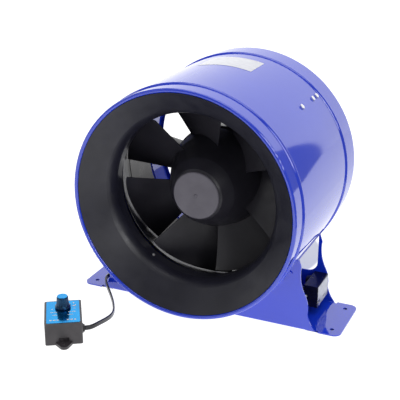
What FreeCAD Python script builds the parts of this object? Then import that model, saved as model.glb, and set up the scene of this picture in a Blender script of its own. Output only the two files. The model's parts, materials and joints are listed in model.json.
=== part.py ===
import FreeCAD, Part
import math
import os
import re
import Sketcher
from FreeCAD import Placement, Rotation, Vector

# Inline mixed-flow duct fan for a 315 mm duct, on a folded stand, with its speed controller on a flat lead.
# Millimetres. +Z is up, air leaves along +Y, and the origin is the centre of the four foot holes,
# on the underside of the stand. Distances "behind the rim" are measured along +Y from the inlet rim.

SIZES = {
    # casing
    "duct_radius": 157.5,
    "casing_length": 264.0,
    "axis_height": 184.2,
    "rim_station": -130.0,
    "casing_wall": 1.2,
    "roll_radius": 2.75,
    "bead_half_width": 3.5,
    "bead_rise": 1.9,
    "front_bead": 28.8,
    "rear_bead": 220.2,
    # inlet bell
    "bell_wall": 2.4,
    "bell_rim_radius": 151.6,
    "bell_cone_radius": 123.4,
    "bell_cone_end": 28.5,
    "throat_radius": 115.8,
    "throat_station": 46.0,
    "bell_length": 62.0,
    # impeller housing
    "housing_wall": 2.2,
    "housing_lip_radius": 126.0,
    "housing_lip": 80.0,
    "housing_end_radius": 149.0,
    "housing_end": 138.0,
    "collar_end": 152.0,
    "liner_radius": 156.2,
    # impeller
    "cap_radius": 33.2,
    "cap_front": 50.4,
    "hub_front": 53.2,
    "hub_wall": 2.3,
    "hub_end": 130.0,
    "hub_end_radius": 72.0,
    "blade_count": 7,
    "blade_root_station": 95.3,
    "blade_tip_station": 68.7,
    "blade_tip_radius": 113.6,
    "blade_end": 127.0,
    "blade_end_radius": 142.6,
    "blade_thickness": 2.4,
    "blade_lead_angle": -76.5,
    "blade_tip_lag": -2.3,
    "blade_root_wrap": 47.0,
    "blade_tip_wrap": 50.0,
    # guide vanes behind the impeller
    "drum_radius": 74.0,
    "drum_wall": 3.0,
    "drum_front": 134.0,
    "drum_end": 222.0,
    "vane_count": 8,
    "vane_front": 155.0,
    "vane_end": 208.0,
    "vane_ring_radius": 153.5,
    "vane_ring_end": 214.0,
    # motor
    "shaft_radius": 4.0,
    "shaft_front": 57.0,
    "shaft_end": 209.0,
    "bearing_radius": 11.0,
    "bearing_width": 7.0,
    "running_gap": 0.03,
    "can_radius": 47.0,
    "can_front": 137.0,
    "can_end": 200.0,
    "core_front": 150.0,
    "core_length": 40.0,
    "core_bore": 25.0,
    "magnet_radius": 24.0,
    "rotor_core_radius": 19.0,
    "slot_count": 12,
    "board_station": 213.0,
    "board_radius": 43.0,
    "tail_end": 250.0,
    # stand
    "steel": 2.0,
    "base_half_length": 198.5,
    "base_half_width": 48.0,
    "foot_hole_x": 183.9,
    "foot_hole_y": 33.0,
    "foot_hole_radius": 3.0,
    "foot_corner": 11.0,
    "flange_half_length": 165.0,
    "saddle_steel": 1.5,
    "saddle_rear": 65.0,
    "saddle_end_angle": 30.3,
    "window_inner": 95.0,
    "window_outer": 135.6,
    "window_sill": 45.0,
    # junction box
    "box_left": 132.5,
    "box_right": 151.0,
    "box_front": -3.0,
    "box_low": 13.5,
    "box_high": 45.5,
    "box_wall": 2.0,
    "lid_thick": 1.5,
    "plate_thick": 0.4,
    "motor_lead_radius": 3.0,
    # controller
    "controller_x": -146.1,
    "controller_y": -189.5,
    "controller_turn": 32.4,
    "case_width": 50.0,
    "case_depth": 66.0,
    "case_height": 29.5,
    "case_wall": 2.0,
    "top_thick": 2.0,
    "knob_y": 12.0,
    "ear_hole_y": 39.0,
    "ear_hole_radius": 2.2,
    "ear_thick": 4.0,
    "cord_exit_y": -16.0,
    "cord_exit_z": 14.0,
    # controller lead
    "cord_width": 7.0,
    "cord_thick": 3.0,
    "coil_x": -90.0,
    "coil_inner": 29.6,
    "coil_outer": 42.8,
    "coil_low": 2.3,
}

doc = FreeCAD.newDocument("inline_duct_fan")
sheet = doc.addObject("Spreadsheet::Sheet", "sizes")
for row, (alias, number) in enumerate(SIZES.items(), start=1):
    sheet.set("A%d" % row, alias)
    sheet.set("B%d" % row, str(number))
    sheet.setAlias("B%d" % row, alias)
doc.recompute()

NODES = []
FAN_AXIS_TURN = Rotation(Vector(1, 0, 0), -90)


# ---- shared helpers -------------------------------------------------------------------------------


def bound(expression):
    """The expression as other objects read it, with each size name pointing at the sheet."""
    if not isinstance(expression, str):
        return "%.6f" % expression
    return re.sub(r"[a-z_]{3,}", lambda word: "sizes." + word.group() if word.group() in SIZES
                  else word.group(), expression)


def size(expression):
    """The expression's value in millimetres or degrees."""
    if not isinstance(expression, str):
        return float(expression)
    return float(sheet.evalExpression(expression))


def keep(thing, label):
    """Make an object one of the pieces that are written out."""
    thing.Label = label
    NODES.append(thing)
    return thing


def place(thing, x=0, y=0, z=0, turn=None):
    """Put an object at expressions of the sheet, with an optional rotation."""
    if turn is not None:
        thing.Placement = Placement(Vector(), turn)
    for axis, expression in zip("xyz", (x, y, z)):
        thing.setExpression("Placement.Base." + axis, bound(expression))
    return thing


def new_body(name):
    return doc.addObject("PartDesign::Body", name)


def new_sketch(body, role):
    """A sketch on one of the body's own origin planes."""
    sketch = body.newObject("Sketcher::SketchObject", body.Name + "_sketch")
    plane = next(item for item in body.Origin.OriginFeatures if item.Role == role)
    sketch.AttachmentSupport = (plane, "")
    sketch.MapMode = "FlatFace"
    return sketch


def pin_point(sketch, geometry, end, point):
    """Fix a sketch point at a pair of expressions."""
    for kind, expression in zip(("DistanceX", "DistanceY"), point):
        index = sketch.addConstraint(Sketcher.Constraint(kind, -1, 1, geometry, end, size(expression)))
        sketch.setExpression("Constraints[%d]" % index, bound(expression))


def draw(sketch, outline):
    """Draw a closed outline of corners (x, y). A point (x, y, "via") is the middle of an arc."""
    spots = [Vector(size(point[0]), size(point[1]), 0) for point in outline]
    corners = [index for index, point in enumerate(outline) if len(point) == 2]
    first_end = last_end = None
    for here, there in zip(corners, corners[1:] + corners[:1]):
        middle = (here + 1) % len(outline)
        if middle == there:
            edge = sketch.addGeometry(Part.LineSegment(spots[here], spots[there]), False)
        else:
            edge = sketch.addGeometry(Part.Arc(spots[here], spots[middle], spots[there]), False)
            marker = sketch.addGeometry(Part.Point(spots[middle]), True)
            pin_point(sketch, marker, 1, outline[middle][:2])
            sketch.addConstraint(Sketcher.Constraint("PointOnObject", marker, 1, edge))
        start = 1 if sketch.getPoint(edge, 1).distanceToPoint(spots[here]) < 1e-6 else 2
        pin_point(sketch, edge, start, outline[here])
        if last_end:
            sketch.addConstraint(Sketcher.Constraint("Coincident", *last_end, edge, start))
        else:
            first_end = (edge, start)
        last_end = (edge, 3 - start)
    sketch.addConstraint(Sketcher.Constraint("Coincident", *last_end, *first_end))


def ring(sketch, x, y, radius):
    """Draw a circle with its centre and radius bound to the sheet."""
    circle = Part.Circle(Vector(size(x), size(y), 0), Vector(0, 0, 1), size(radius))
    edge = sketch.addGeometry(circle, False)
    pin_point(sketch, edge, 3, (x, y))
    index = sketch.addConstraint(Sketcher.Constraint("Radius", edge, size(radius)))
    sketch.setExpression("Constraints[%d]" % index, bound(radius))


def revolve(body, outline, feature="PartDesign::Revolution"):
    """Turn an outline of (radius, distance behind the rim) once round the fan's axis."""
    sketch = new_sketch(body, "XY_Plane")
    draw(sketch, outline)
    turned = body.newObject(feature, body.Name + "_turned")
    turned.Profile = sketch
    turned.ReferenceAxis = (sketch, ["V_Axis"])
    turned.Angle = 360.0
    return turned


def on_axis(thing):
    """Put an object made about its own Y axis on the fan's axis, with its zero at the inlet rim."""
    return place(thing, 0, "rim_station", "axis_height")


def turned_body(name, outline):
    body = new_body(name)
    revolve(body, outline)
    return on_axis(body)


def pad(body, outline, length, role="XY_Plane", both_ways=False, shift=0):
    """Extrude an outline, lifted off its plane by shift."""
    sketch = new_sketch(body, role)
    draw(sketch, outline)
    sketch.setExpression("AttachmentOffset.Base.z", bound(shift))
    feature = body.newObject("PartDesign::Pad", body.Name + "_pad")
    feature.Profile = sketch
    feature.setExpression("Length", bound(length))
    feature.Midplane = both_ways
    return feature


def rectangle(x_low, x_high, y_low, y_high):
    return [(x_low, y_low), (x_high, y_low), (x_high, y_high), (x_low, y_high)]


def block(name, x, y, z, length, width, height):
    """A box from its low corner."""
    box = doc.addObject("Part::Box", name)
    for side, expression in zip(("Length", "Width", "Height"), (length, width, height)):
        box.setExpression(side, bound(expression))
    return place(box, x, y, z)


def rod(name, radius, length, x=0, y=0, z=0, turn=None):
    """A cylinder along +Z, or along whatever turn takes +Z to."""
    cylinder = doc.addObject("Part::Cylinder", name)
    cylinder.setExpression("Radius", bound(radius))
    cylinder.setExpression("Height", bound(length))
    return place(cylinder, x, y, z, turn)


def axial_rod(name, radius, start, length):
    """A cylinder on the fan's axis, from a distance behind the rim."""
    return rod(name, radius, length, 0, "rim_station + %s" % start, "axis_height", FAN_AXIS_TURN)


def cut(name, base, tool):
    result = doc.addObject("Part::Cut", name)
    result.Base = base
    result.Tool = tool
    return result


def fuse(name, pieces):
    result = doc.addObject("Part::MultiFuse", name)
    result.Shapes = pieces
    return result


def group(label, pieces):
    """Separate solids that share one node."""
    result = doc.addObject("Part::Compound", label)
    result.Links = pieces
    return keep(result, label)


def axial_tube(name, outer, inner, start, length):
    """A tube on the fan's axis."""
    outside = axial_rod(name + "_outside", outer, start, length)
    inside = axial_rod(name + "_inside", inner, start, length)
    return cut(name, outside, inside)


def screw(name, head_radius, head_height, shank_radius, shank_length, spot, turn):
    """A pan-head screw: its head's underside is at spot, and its shank runs along -Z of turn."""
    head = rod(name + "_head", head_radius, head_height)
    shank = rod(name + "_shank", shank_radius, shank_length, 0, 0, "-(%s)" % shank_length)
    whole = fuse(name, [head, shank])
    whole.Placement = Placement(spot, turn)
    return whole


def toward(direction):
    """The rotation that takes +Z to a direction."""
    return Rotation(Vector(0, 0, 1), direction)


def radial(angle, radius, station):
    """A point on the casing: angle from +X towards +Z, radius, and distance behind the rim."""
    flat = math.radians(angle)
    return Vector(radius * math.cos(flat), size("rim_station") + station,
                  size("axis_height") + radius * math.sin(flat))


def outward(angle):
    return Vector(math.cos(math.radians(angle)), 0, math.sin(math.radians(angle)))


def radial_rod(name, radius, low, high, angle, station):
    """A rod that points straight out from the fan's axis, between two radii."""
    spot = radial(angle, low, station)
    return rod(name, radius, high - low, spot.x, spot.y, spot.z, toward(outward(angle)))


# ---- casing ---------------------------------------------------------------------------------------

SCREW_ANGLES = (45, 135, 225, 315)
HOUSING_SCREW_STATIONS = (145,)
VANE_SCREW_STATIONS = (191, 207)
CASING_SCREW = {"head_radius": 3.6, "head_height": 1.9, "shank_radius": 1.9, "shank_length": 6.0}
LEAD_ANGLE = -52.0
LEAD_STATION = 134.0
GROMMET_RADIUS = 5.5


def casing():
    """Rolled steel tube with an inward roll at each rim and a raised bead behind each spigot."""
    skin = "duct_radius"
    inner = "duct_radius - casing_wall"
    roll = "duct_radius - 2 * roll_radius"
    outside, inside = [], []
    for bead in ("front_bead", "rear_bead"):
        outside += [(skin, bead + " - bead_half_width"), (skin + " + bead_rise", bead, "via"),
                    (skin, bead + " + bead_half_width")]
        inside += [(inner, bead + " - bead_half_width"), (inner + " + bead_rise", bead, "via"),
                   (inner, bead + " + bead_half_width")]
    outline = [(skin, "roll_radius")] + outside + [
        (skin, "casing_length - roll_radius"),
        ("duct_radius - roll_radius", "casing_length", "via"),
        (roll, "casing_length - roll_radius"),
        (inner, "casing_length - 2 * roll_radius")] + inside[::-1] + [
        (inner, "2 * roll_radius"),
        (roll, "roll_radius"),
        ("duct_radius - roll_radius", "0", "via")]
    tube = turned_body("casing_tube", outline)
    holes = [radial_rod("casing_hole", 2.0, 150, 165, angle, station)
             for angle in SCREW_ANGLES for station in HOUSING_SCREW_STATIONS + VANE_SCREW_STATIONS]
    holes.append(radial_rod("casing_lead_hole", GROMMET_RADIUS, 150, 165, LEAD_ANGLE, LEAD_STATION))
    keep(cut("casing", tube, fuse("casing_holes", holes)), "casing")


def through_saddle(angle, station):
    """Whether a casing screw passes through the stand's saddle as well."""
    return angle > 180 and size("rim_station") + station < size("saddle_rear")


def casing_screws():
    """Pan-head screws that hold the impeller housing and the guide vane ring, and the saddle below."""
    for label, stations in (("housing_screws", HOUSING_SCREW_STATIONS), ("vane_screws", VANE_SCREW_STATIONS)):
        screws = []
        for angle in SCREW_ANGLES:
            for station in stations:
                seat = "duct_radius + saddle_steel" if through_saddle(angle, station) else "duct_radius"
                spot = radial(angle, size(seat) + 0.02, station)
                screws.append(screw(label + "_one", *CASING_SCREW.values(), spot, toward(outward(angle))))
        group(label, screws)


def rating_label():
    """Thin metal foil bent round the top of the casing, with no text."""
    body = new_body("rating_label_body")
    sketch = new_sketch(body, "YZ_Plane")
    draw(sketch, rectangle("140", "192", "duct_radius + 0.02", "duct_radius + 0.27"))
    turned = body.newObject("PartDesign::Revolution", "rating_label_bend")
    turned.Profile = sketch
    turned.ReferenceAxis = (sketch, ["H_Axis"])
    turned.Angle = 28.5
    turned.Midplane = True
    place(body, 0, "rim_station", "axis_height", Rotation(Vector(0, 1, 0), 0.25))
    keep(body, "rating_label")


# ---- air path -------------------------------------------------------------------------------------


def inlet_bell():
    """Moulded inlet cone that narrows to the throat, with a skirt inside the rolled rim."""
    angle = -123.0
    bell = turned_body("inlet_bell_body", [
        ("bell_rim_radius", "2"),
        ("bell_cone_radius", "bell_cone_end"),
        ("throat_radius + 2.1", "36.6", "via"),
        ("throat_radius", "throat_station"),
        ("throat_radius + 1.2", "bell_length"),
        ("throat_radius + 1.2 + bell_wall", "bell_length"),
        ("throat_radius + bell_wall", "throat_station + 0.4"),
        ("throat_radius + 4.2", "38.4", "via"),
        ("bell_cone_radius + 1.7", "bell_cone_end + 1.9"),
        ("bell_rim_radius - bell_wall", "6.4"),
        ("bell_rim_radius - bell_wall", "14"),
        ("bell_rim_radius", "14")])
    hole = radial_rod("throat_screw_hole", 1.25, 112, 123, angle, size("throat_station") + 2)
    keep(cut("inlet_bell", bell, hole), "inlet_bell")
    spot = radial(angle, size("throat_radius") - 0.05, size("throat_station") + 2)
    inward = toward(outward(angle) * -1)
    keep(screw("throat_screw", 1.9, 1.1, 1.2, 5.0, spot, inward), "throat_screw")


def impeller_housing():
    """Conical shroud round the impeller, with a collar that is screwed to the casing."""
    body = turned_body("impeller_housing_body", [
        ("housing_lip_radius", "housing_lip + 1.1"),
        ("housing_end_radius", "housing_end"),
        ("housing_end_radius", "housing_end + housing_wall"),
        ("liner_radius - housing_wall", "housing_end + housing_wall"),
        ("liner_radius - housing_wall", "collar_end"),
        ("liner_radius", "collar_end"),
        ("liner_radius", "housing_end"),
        ("housing_end_radius + housing_wall + 0.4", "housing_end"),
        ("housing_lip_radius + housing_wall", "housing_lip + 1.1"),
        ("housing_lip_radius + housing_wall / 2", "housing_lip", "via")])
    holes = [radial_rod("collar_hole", 1.9, 148, 160, angle, station)
             for angle in SCREW_ANGLES for station in HOUSING_SCREW_STATIONS]
    keep(cut("impeller_housing", body, fuse("collar_holes", holes)), "impeller_housing")


# Corners of the impeller hub's outer surface, as (radius, distance behind the rim).
HUB_CORNERS = [(36.2, 55.4), (47.3, 70.9), (59.5, 95.3), (66.0, 110.0), (71.0, 126.0)]


def hub_radius(station):
    """The hub's outer radius, straight between its corners."""
    corners = HUB_CORNERS + [(size("hub_end_radius"), size("hub_end"))]
    for (low_radius, low), (high_radius, high) in zip(corners, corners[1:]):
        if station <= high:
            return low_radius + (high_radius - low_radius) * (station - low) / (high - low)
    return size("hub_end_radius")


def tip_radius(station):
    """The blade tips follow the housing's cone, opening fastest at the front."""
    share = (station - size("blade_tip_station")) / (size("blade_end") - size("blade_tip_station"))
    grown = size("blade_end_radius") - size("blade_tip_radius")
    return size("blade_tip_radius") + grown * max(share, 0.0) ** 0.8


def blade_middle(span, chord, turn):
    """A point on a blade's middle surface: span 0 at the hub and 1 at the tip, chord from the front."""
    root, tip = size("blade_root_station"), size("blade_tip_station")
    front = root + (tip - root) * span
    station = front + (size("blade_end") - front) * chord
    radius = hub_radius(station) + span * (tip_radius(station) - hub_radius(station))
    lead = size("blade_lead_angle") + size("blade_tip_lag") * span
    wrap = size("blade_root_wrap") + (size("blade_tip_wrap") - size("blade_root_wrap")) * span
    angle = math.radians(lead + wrap * chord + turn)
    return Vector(radius * math.cos(angle), station, radius * math.sin(angle))


def blade_side(side, turn):
    """One face of a blade: its middle surface moved out by half the thickness, thinner at both edges."""
    rows = []
    for span in (-0.028, 0.17, 0.38, 0.59, 0.8, 1.0):
        row = []
        for step in range(9):
            chord = step / 8
            here = blade_middle(span, chord, turn)
            along = blade_middle(span, chord + 0.01, turn) - blade_middle(span, chord - 0.01, turn)
            across = blade_middle(span + 0.01, chord, turn) - here
            normal = along.cross(across).normalize()
            half = size("blade_thickness") / 2 * (0.4 + 0.6 * math.sin(math.pi * chord) ** 0.5)
            row.append(here + normal * (half * side))
        rows.append(row)
    surface = Part.BSplineSurface()
    surface.interpolate(rows)
    return surface.toShape()


def blade(turn):
    """A solid blade: two curved faces joined along their four edges."""
    front, back = blade_side(1, turn), blade_side(-1, turn)
    rims = [Part.makeRuledSurface(one, other) for one, other in zip(front.Edges, back.Edges)]
    shell = Part.makeShell([front, back] + rims)
    shell.sewShape()
    solid = Part.makeSolid(shell)
    if solid.Volume < 0:
        solid.reverse()
    piece = doc.addObject("Part::Feature", "impeller_blade")
    piece.Shape = solid
    piece.Placement = Placement(Vector(0, size("rim_station"), size("axis_height")), Rotation())
    return piece


def impeller():
    """One moulding: a flared hub with its web and boss, and seven twisted blades."""
    outer = [(str(radius), str(station)) for radius, station in HUB_CORNERS]
    hub = turned_body("impeller_hub", [
        ("14", "hub_front"),
        ("cap_radius + 0.4", "hub_front")] + outer + [
        ("hub_end_radius", "hub_end"),
        ("hub_end_radius - hub_wall", "hub_end"),
        ("66 - 1.05 * hub_wall", "110.7"),
        ("59.5 - 1.05 * hub_wall", "96"),
        ("10", "96"),
        ("10", "104"),
        ("shaft_radius", "104"),
        ("shaft_radius", "66"),
        ("10", "66"),
        ("10", "93"),
        ("58.3 - 1.15 * hub_wall", "93"),
        ("47.3 - 1.15 * hub_wall", "72"),
        ("36.2 - hub_wall", "57.2"),
        ("32", "55.6"),
        ("14", "55.6")])
    pitch = 360.0 / SIZES["blade_count"]
    blades = [blade(pitch * index) for index in range(SIZES["blade_count"])]
    keep(fuse("impeller", [hub] + blades), "impeller")


def hub_cap():
    """Shallow round cap with a small centre pip, pushed into the front of the hub."""
    keep(turned_body("hub_cap_body", [
        ("0", "cap_front - 0.9"),
        ("1.5", "cap_front - 0.9"),
        ("2.6", "cap_front"),
        ("cap_radius - 2", "cap_front"),
        ("cap_radius - 0.6", "cap_front + 0.6", "via"),
        ("cap_radius", "cap_front + 2"),
        ("cap_radius", "hub_front"),
        ("13.8", "hub_front"),
        ("13.8", "57"),
        ("12.4", "57"),
        ("12.4", "cap_front + 2"),
        ("0", "cap_front + 2")]), "hub_cap")


def guide_vanes():
    """Fixed vanes between the motor drum and a ring that is screwed to the casing."""
    body = new_body("guide_vanes_body")
    revolve(body, [
        ("bearing_radius", "drum_front"),
        ("drum_radius - 2", "drum_front"),
        ("drum_radius - 0.6", "drum_front + 0.6", "via"),
        ("drum_radius", "drum_front + 2"),
        ("drum_radius", "drum_end"),
        ("drum_radius - drum_wall", "drum_end"),
        ("drum_radius - drum_wall", "can_front"),
        ("15", "can_front"),
        ("15", "drum_front + 8"),
        ("bearing_radius", "drum_front + 8")])
    vane = pad(body, [
        ("vane_front", "15"),
        ("178", "3.7", "via"),
        ("vane_end", "0"),
        ("vane_end", "-2.2"),
        ("177.4", "1.3", "via"),
        ("vane_front", "12.3")],
        "vane_ring_radius - drum_radius + 3.5", "YZ_Plane", shift="drum_radius - 2.5")
    pattern = body.newObject("PartDesign::PolarPattern", "vane_pattern")
    pattern.Originals = [vane]
    axis = next(item for item in body.Origin.OriginFeatures if item.Role == "Y_Axis")
    pattern.Axis = (axis, [""])
    pattern.Angle = 360.0
    pattern.setExpression("Occurrences", bound("vane_count"))
    body.Tip = pattern
    revolve(body, rectangle("vane_ring_radius", "liner_radius", "collar_end + 1", "vane_ring_end"))
    place(body, 0, "rim_station", "axis_height", Rotation(Vector(0, 1, 0), 10.5))
    holes = [radial_rod("vane_ring_hole", 1.9, 148, 160, angle, station)
             for angle in SCREW_ANGLES for station in VANE_SCREW_STATIONS]
    holes += [axial_screw_hole(angle) for angle in CAN_SCREW_ANGLES] + tail_screw_holes()
    keep(cut("guide_vanes", body, fuse("guide_vane_holes", holes)), "guide_vanes")


# ---- motor ----------------------------------------------------------------------------------------

CAN_SCREW_ANGLES = (0, 90, 180, 270)
CAN_SCREW_CIRCLE = 51.5


def axial_screw_hole(angle):
    """A clearance hole through the drum's front wall for a screw of the motor can."""
    spot = radial(angle, CAN_SCREW_CIRCLE, size("drum_front") - 1)
    return rod("can_screw_hole", 1.6, 7, spot.x, spot.y, spot.z, FAN_AXIS_TURN)


def motor_shell():
    """Steel can with a screwed flange at its front, and the end shield that closes it."""
    can = turned_body("motor_can_body", [
        ("can_radius - 3", "can_front"),
        ("can_radius + 9", "can_front"),
        ("can_radius + 9", "can_front + 2"),
        ("can_radius", "can_front + 2"),
        ("can_radius", "can_end"),
        ("can_radius - 3", "can_end")])
    holes = [axial_screw_hole(angle) for angle in CAN_SCREW_ANGLES]
    keep(cut("motor_can", can, fuse("can_holes", holes)), "motor_can")
    group("can_screws", [screw("can_screw", 2.8, 1.8, 1.5, 4.6,
                               radial(angle, CAN_SCREW_CIRCLE, size("can_front") + 2), FAN_AXIS_TURN)
                         for angle in CAN_SCREW_ANGLES])
    keep(turned_body("end_shield_body", [
        ("bearing_radius", "can_end - 3"),
        ("15", "can_end - 3"),
        ("15", "can_end"),
        ("can_radius", "can_end"),
        ("can_radius", "can_end + 3"),
        ("15", "can_end + 3"),
        ("15", "can_end + 6"),
        ("bearing_radius", "can_end + 6")]), "motor_end_shield")


def bearing(label, start):
    """A shielded ball bearing as one ring, with the shields' shallow recesses on both faces."""
    end = "%s + bearing_width" % start
    keep(turned_body(label + "_body", [
        ("shaft_radius + running_gap", start),
        ("6.2", start),
        ("6.2", "%s + 0.5" % start),
        ("9", "%s + 0.5" % start),
        ("9", start),
        ("bearing_radius", start),
        ("bearing_radius", end),
        ("9", end),
        ("9", end + " - 0.5"),
        ("6.2", end + " - 0.5"),
        ("6.2", end),
        ("shaft_radius + running_gap", end)]), label)


def rotating_parts():
    """Shaft, laminated rotor with its magnets, and what is fastened to the shaft."""
    keep(axial_rod("motor_shaft", "shaft_radius", "shaft_front", "shaft_end - shaft_front"), "motor_shaft")
    keep(axial_tube("rotor_core", "rotor_core_radius", "shaft_radius", "core_front + 1", "core_length - 2"),
         "rotor_core")
    keep(axial_tube("rotor_magnets", "magnet_radius", "rotor_core_radius", "core_front + 2",
                    "core_length - 4"), "rotor_magnets")
    keep(axial_tube("shaft_circlip", "6", "shaft_radius", "can_end + 6.3", "1"), "shaft_circlip")
    keep(axial_tube("shaft_washer", "8", "shaft_radius", "64.5", "1.5"), "shaft_washer")
    hexagon = doc.addObject("Part::Prism", "shaft_nut_hexagon")
    hexagon.Polygon = 6
    hexagon.Circumradius = 7.5
    hexagon.Height = 6.4
    place(hexagon, 0, "rim_station + 58.1", "axis_height", FAN_AXIS_TURN)
    keep(cut("shaft_nut", hexagon, axial_rod("shaft_nut_bore", "shaft_radius", "58", "7")), "shaft_nut")


def polar_block(name, angle, inner, outer, width, start, length):
    """A box that stands out from the fan's axis at an angle, between two radii."""
    turn = Rotation(Vector(0, 1, 0), -angle)
    box = doc.addObject("Part::Box", name)
    box.Length, box.Width, box.Height = outer - inner, length, width
    corner = turn.multVec(Vector(inner, 0, -width / 2))
    box.Placement = Placement(corner + Vector(0, size("rim_station") + start, size("axis_height")), turn)
    return box


def slot_bars(name, inner, outer, width, start, length):
    """Twelve bars round the axis, as the slots of the stator core or what is wound through them."""
    pitch = 360.0 / SIZES["slot_count"]
    return [polar_block(name, pitch * index, inner, outer, width, start, length)
            for index in range(SIZES["slot_count"])]


def stator():
    """Slotted lamination stack and the copper winding that fills its slots."""
    front, length = size("core_front"), size("core_length")
    stack = axial_tube("stator_stack", "can_radius - 3", "core_bore", "core_front", "core_length")
    slots = fuse("stator_slots", slot_bars("stator_slot", 28.5, 39.0, 7.0, front - 1, length + 2))
    keep(cut("stator_core", stack, slots), "stator_core")
    heads = [axial_tube("winding_head", "39.5", "28", start, "6.5")
             for start in ("core_front - 6.8", "core_front + core_length + 0.3")]
    bars = slot_bars("winding_bar", 28.8, 38.7, 6.4, front - 0.5, length + 1)
    keep(fuse("stator_winding", heads + bars), "stator_winding")


def driver():
    """Round driver board on three stand-offs behind the end shield, under the tail cone."""
    board_back = "board_station + 1.6"
    spots = [radial(angle, 36.0, size("can_end") + 3) for angle in (90, 210, 330)]
    group("board_standoffs", [rod("board_standoff", 3, "board_station - can_end - 3",
                                  spot.x, spot.y, spot.z, FAN_AXIS_TURN) for spot in spots])
    keep(axial_rod("driver_board", "board_radius", "board_station", "1.6"), "driver_board")
    behind = "rim_station + " + board_back
    cans = [rod("driver_capacitor", 6, 14, x, behind, "axis_height + 14", FAN_AXIS_TURN)
            for x in (-16, 0, 16)]
    chip = block("driver_chip", -18, behind, "axis_height - 24", 36, 6, 20)
    group("driver_parts", cans + [chip])


TAIL_SCREW_ANGLES = (90, 210, 330)


def tail_screw_holes():
    """Holes through the drum and the tail cone's collar."""
    return [radial_rod("tail_screw_hole", 1.35, 66, 76, angle, size("drum_end") - 2.5)
            for angle in TAIL_SCREW_ANGLES]


def tail_cone():
    """Domed cover that closes the back of the motor drum."""
    cover = turned_body("tail_cone_body", [
        ("drum_radius", "drum_end"),
        ("drum_radius - 6.5", "drum_end + 19.5", "via"),
        ("42", "tail_end"),
        ("0", "tail_end"),
        ("0", "tail_end - 2.5"),
        ("41.3", "tail_end - 2.5"),
        ("drum_radius - 8.8", "drum_end + 17.8", "via"),
        ("drum_radius - 5.6", "drum_end"),
        ("drum_radius - 5.6", "drum_end - 5"),
        ("drum_radius - 3.2", "drum_end - 5"),
        ("drum_radius - 3.2", "drum_end")])
    keep(cut("tail_cone", cover, fuse("tail_cone_holes", tail_screw_holes())), "tail_cone")
    group("tail_cone_screws", [screw("tail_cone_screw", 2.6, 1.2, 1.3, 5.0,
                                     radial(angle, size("drum_radius") + 0.02, size("drum_end") - 2.5),
                                     toward(outward(angle))) for angle in TAIL_SCREW_ANGLES])


# ---- stand ----------------------------------------------------------------------------------------

BOX_SCREW_X = 142.0
BOX_SCREW_HEIGHTS = (22.0, 37.0)
SADDLE_TAB_ANGLES = (-40.1, -139.9)


def mirrored(right_side):
    """An outline that starts and ends on the right, completed by its mirror image."""
    left_side = [("-(%s)" % point[0],) + point[1:] for point in reversed(right_side)]
    return right_side + left_side


def stand_channel():
    """The folded part of the stand: floor, bends and both flanges, cut to the flanges' outline."""
    inner = "base_half_width - steel"
    bend = "base_half_width - 1.5 * steel"
    right = [(bend, "0"),
             ("base_half_width - 0.44 * steel", "0.44 * steel", "via"),
             ("base_half_width", "1.5 * steel"),
             ("base_half_width", "115"),
             (inner, "115"),
             (inner, "1.5 * steel"),
             ("base_half_width - 1.146 * steel", "1.146 * steel", "via"),
             (bend, "steel")]
    fold = new_body("stand_fold")
    pad(fold, mirrored(right), "2 * flange_half_length", "YZ_Plane", both_ways=True)
    edge = [("flange_half_length", "0"),
            ("157", "11.5", "via"),
            ("152.4", "25"),
            ("152.6", "37", "via"),
            ("147", "54"),
            ("141", "73", "via"),
            ("141", "93"),
            ("(duct_radius + saddle_steel) * cos(saddle_end_angle)",
             "axis_height - (duct_radius + saddle_steel) * sin(saddle_end_angle)")]
    crest = [("0", "axis_height - duct_radius - saddle_steel", "via")]
    left = [("-(%s)" % point[0],) + point[1:] for point in reversed(edge)]
    profile = new_body("stand_profile")
    pad(profile, edge + crest + left, "2.2 * base_half_width", "XZ_Plane", both_ways=True)
    folded = doc.addObject("Part::MultiCommon", "stand_folded")
    folded.Shapes = [fold, profile]
    return folded


def stand_floor():
    """The floor's two wings, with rounded corners and relief notches beside the bends."""
    notch = "base_half_width - 2 * steel"
    corner_x = "base_half_length - foot_corner"
    corner_y = "base_half_width - foot_corner"
    middle_x = "base_half_length - 0.2929 * foot_corner"
    middle_y = "base_half_width - 0.2929 * foot_corner"
    right = [("flange_half_length + 3", "-(%s)" % notch),
             ("flange_half_length + 3", "-base_half_width"),
             (corner_x, "-base_half_width"),
             (middle_x, "-(%s)" % middle_y, "via"),
             ("base_half_length", "-(%s)" % corner_y),
             ("base_half_length", corner_y),
             (middle_x, middle_y, "via"),
             (corner_x, "base_half_width"),
             ("flange_half_length + 3", "base_half_width"),
             ("flange_half_length + 3", notch)]
    floor = new_body("stand_floor")
    pad(floor, mirrored(right), "steel")
    return floor


def stand():
    """One folded sheet: floor with four foot holes, a low flange in front and one with cable windows."""
    holes = [rod("foot_hole", "foot_hole_radius", 10,
                 "%d * foot_hole_x" % side_x, "%d * foot_hole_y" % side_y, -4)
             for side_x in (-1, 1) for side_y in (-1, 1)]
    holes += [rod("box_screw_hole", 1.6, 10, BOX_SCREW_X, "base_half_width - 6", height, FAN_AXIS_TURN)
              for height in BOX_SCREW_HEIGHTS]
    for side in (-1, 1):
        window = new_body("stand_window")
        pad(window, [("%d * window_inner" % side, "window_sill"),
                     ("%d * (window_outer - 15)" % side, "window_sill"),
                     ("%d * (window_outer - 4.4)" % side, "window_sill + 4.4", "via"),
                     ("%d * window_outer" % side, "window_sill + 15"),
                     ("%d * window_outer" % side, "120"),
                     ("%d * window_inner" % side, "120")], 12, "XZ_Plane", shift="-(base_half_width + 6)")
        holes.append(window)
    sheet_metal = fuse("stand_sheet", [stand_channel(), stand_floor()])
    keep(cut("stand", sheet_metal, fuse("stand_holes", holes)), "stand")


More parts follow.
